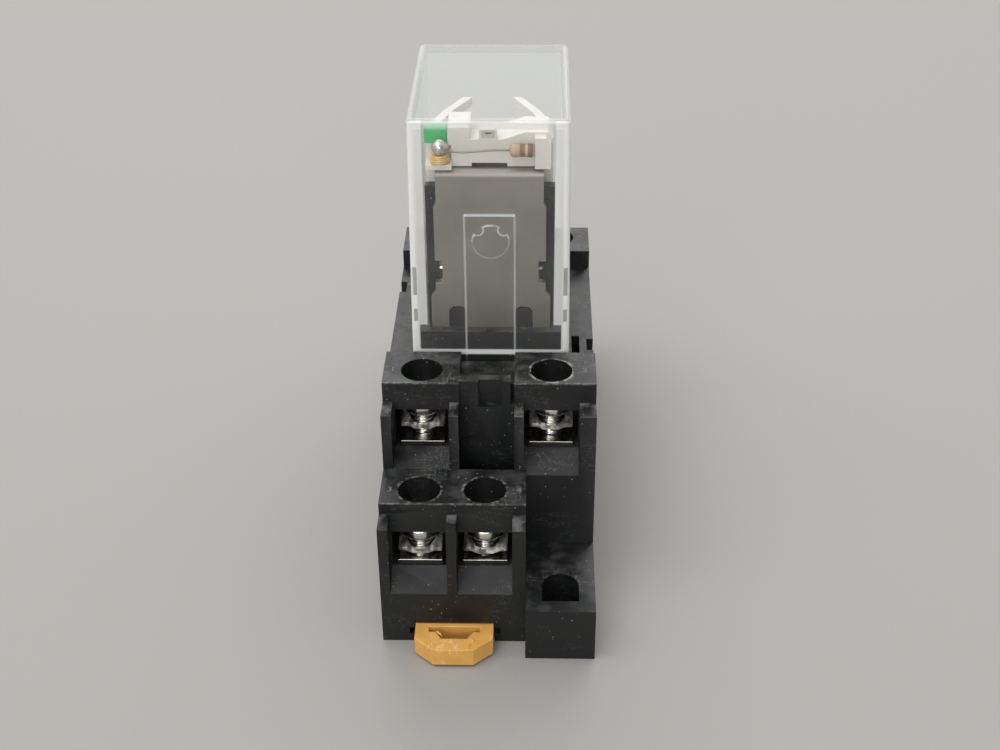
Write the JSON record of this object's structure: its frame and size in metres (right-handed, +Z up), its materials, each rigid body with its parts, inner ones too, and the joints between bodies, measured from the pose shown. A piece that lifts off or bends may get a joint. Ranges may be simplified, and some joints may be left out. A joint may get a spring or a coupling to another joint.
{
  "type": "power relay with socket",
  "caption": "Clear-cased plug-in power relay standing in a black rail-mount screw-terminal socket with an amber slider.",
  "frame": {"origin": "centre of the socket's underside, on the centre line of the rail it clips to", "axes": "+Z up along the relay's blades, +Y along the socket away from the rail slider, +X across the socket along the rail"},
  "size_m": [0.0286, 0.0833, 0.0654],
  "materials": {
    "black_moulding": "moulded black thermoplastic, satin",
    "amber_moulding": "moulded amber nylon, scuffed at the pull",
    "plated_steel": "bright nickel plate",
    "plated_brass": "tin plate over brass",
    "spring_brass": "bare spring brass",
    "clear_cover": "clear polycarbonate, glossy",
    "plated_iron": "satin nickel plate over iron",
    "white_moulding": "moulded off-white plastic",
    "copper": "enamelled copper wire",
    "green_lens": "translucent green plastic",
    "resistor_coat": "tan lacquer",
    "solder": "bright solder"
  },
  "bodies": {
    "socket": {"socket_body": "black_moulding", "floor_plate": "black_moulding", "terminal_plate_1": "plated_brass", "terminal_plate_2": "plated_brass", "terminal_plate_3": "plated_brass", "terminal_plate_4": "plated_brass", "terminal_plate_5": "plated_brass", "terminal_plate_6": "plated_brass", "terminal_plate_7": "plated_brass", "terminal_plate_8": "plated_brass", "blade_clip_1": "spring_brass", "blade_clip_2": "spring_brass", "blade_clip_3": "spring_brass", "blade_clip_4": "spring_brass", "blade_clip_5": "spring_brass", "blade_clip_6": "spring_brass", "blade_clip_7": "spring_brass", "blade_clip_8": "spring_brass"},
    "rail_slider": {"rail_slider": "amber_moulding"},
    "clamp_1": {"clamp_washer_1": "plated_steel"},
    "screw_1": {"terminal_screw_1": "plated_steel"},
    "clamp_2": {"clamp_washer_2": "plated_steel"},
    "screw_2": {"terminal_screw_2": "plated_steel"},
    "clamp_3": {"clamp_washer_3": "plated_steel"},
    "screw_3": {"terminal_screw_3": "plated_steel"},
    "clamp_4": {"clamp_washer_4": "plated_steel"},
    "screw_4": {"terminal_screw_4": "plated_steel"},
    "clamp_5": {"clamp_washer_5": "plated_steel"},
    "screw_5": {"terminal_screw_5": "plated_steel"},
    "clamp_6": {"clamp_washer_6": "plated_steel"},
    "screw_6": {"terminal_screw_6": "plated_steel"},
    "clamp_7": {"clamp_washer_7": "plated_steel"},
    "screw_7": {"terminal_screw_7": "plated_steel"},
    "clamp_8": {"clamp_washer_8": "plated_steel"},
    "screw_8": {"terminal_screw_8": "plated_steel"},
    "relay": {"relay_cover": "clear_cover", "relay_base": "black_moulding", "yoke": "plated_iron", "core": "plated_iron", "bobbin": "white_moulding", "coil_winding": "copper", "open_contact_left": "plated_brass", "open_contact_right": "plated_brass", "closed_contact_left": "plated_brass", "closed_contact_right": "plated_brass", "common_blade_left": "plated_brass", "common_blade_right": "plated_brass", "coil_blade_left": "plated_brass", "coil_blade_right": "plated_brass", "braid_left": "copper", "braid_right": "copper", "indicator_lamp": "green_lens", "resistor": "resistor_coat", "coil_post": "solder"},
    "armature": {"armature": "plated_iron", "contact_carrier": "white_moulding", "moving_contact_left": "spring_brass", "moving_contact_right": "spring_brass"}
  },
  "joints": [
    {"name": "rail_slider_pull", "type": "slide", "parent": "socket", "child": "rail_slider", "axis": [0, -1, 0], "range_m": [0, 0.003], "stiffness_N_per_m": 600},
    {"name": "relay_unplug", "type": "slide", "parent": "socket", "child": "relay", "axis": [0, 0, 1], "range_m": [0, 0.012]},
    {"name": "armature_swing", "type": "hinge", "parent": "relay", "child": "armature", "pos_m": [0, -0.00915, 0.05566], "axis": [-1, 0, 0], "range_deg": [0, 4], "stiffness_Nm_per_rad": 0.02, "springref_deg": -2.86, "deforming": ["braid_left", "braid_right"]},
    {"name": "clamp_travel_1", "type": "slide", "parent": "socket", "child": "clamp_1", "axis": [0, 0, -1], "range_m": [0, 0.0013]},
    {"name": "screw_turn_1", "type": "hinge", "parent": "clamp_1", "child": "screw_1", "pos_m": [-0.0091, -0.01945, 0.0268], "axis": [0, 0, -1], "range_deg": [0, 781]},
    {"name": "clamp_travel_2", "type": "slide", "parent": "socket", "child": "clamp_2", "axis": [0, 0, -1], "range_m": [0, 0.0013]},
    {"name": "screw_turn_2", "type": "hinge", "parent": "clamp_2", "child": "screw_2", "pos_m": [0.0083, -0.01945, 0.0268], "axis": [0, 0, -1], "range_deg": [0, 781]},
    {"name": "clamp_travel_3", "type": "slide", "parent": "socket", "child": "clamp_3", "axis": [0, 0, -1], "range_m": [0, 0.0005]},
    {"name": "screw_turn_3", "type": "hinge", "parent": "clamp_3", "child": "screw_3", "pos_m": [-0.0091, -0.03085, 0.0153], "axis": [0, 0, -1], "range_deg": [0, 301]},
    {"name": "clamp_travel_4", "type": "slide", "parent": "socket", "child": "clamp_4", "axis": [0, 0, -1], "range_m": [0, 0.0005]},
    {"name": "screw_turn_4", "type": "hinge", "parent": "clamp_4", "child": "screw_4", "pos_m": [-0.0004, -0.03085, 0.0153], "axis": [0, 0, -1], "range_deg": [0, 301]},
    {"name": "clamp_travel_5", "type": "slide", "parent": "socket", "child": "clamp_5", "axis": [0, 0, -1], "range_m": [0, 0.0013]},
    {"name": "screw_turn_5", "type": "hinge", "parent": "clamp_5", "child": "screw_5", "pos_m": [0.0091, 0.01945, 0.0268], "axis": [0, 0, -1], "range_deg": [0, 781]},
    {"name": "clamp_travel_6", "type": "slide", "parent": "socket", "child": "clamp_6", "axis": [0, 0, -1], "range_m": [0, 0.0013]},
    {"name": "screw_turn_6", "type": "hinge", "parent": "clamp_6", "child": "screw_6", "pos_m": [-0.0083, 0.01945, 0.0268], "axis": [0, 0, -1], "range_deg": [0, 781]},
    {"name": "clamp_travel_7", "type": "slide", "parent": "socket", "child": "clamp_7", "axis": [0, 0, -1], "range_m": [0, 0.0005]},
    {"name": "screw_turn_7", "type": "hinge", "parent": "clamp_7", "child": "screw_7", "pos_m": [0.0091, 0.03085, 0.0153], "axis": [0, 0, -1], "range_deg": [0, 301]},
    {"name": "clamp_travel_8", "type": "slide", "parent": "socket", "child": "clamp_8", "axis": [0, 0, -1], "range_m": [0, 0.0005]},
    {"name": "screw_turn_8", "type": "hinge", "parent": "clamp_8", "child": "screw_8", "pos_m": [0.0004, 0.03085, 0.0153], "axis": [0, 0, -1], "range_deg": [0, 301]}
  ],
  "couplings": [
    {"joint": "screw_turn_1", "follows": "clamp_travel_1", "rad_per_m": 10472},
    {"joint": "screw_turn_2", "follows": "clamp_travel_2", "rad_per_m": 10472},
    {"joint": "screw_turn_3", "follows": "clamp_travel_3", "rad_per_m": 10472},
    {"joint": "screw_turn_4", "follows": "clamp_travel_4", "rad_per_m": 10472},
    {"joint": "screw_turn_5", "follows": "clamp_travel_5", "rad_per_m": 10472},
    {"joint": "screw_turn_6", "follows": "clamp_travel_6", "rad_per_m": 10472},
    {"joint": "screw_turn_7", "follows": "clamp_travel_7", "rad_per_m": 10472},
    {"joint": "screw_turn_8", "follows": "clamp_travel_8", "rad_per_m": 10472}
  ]
}
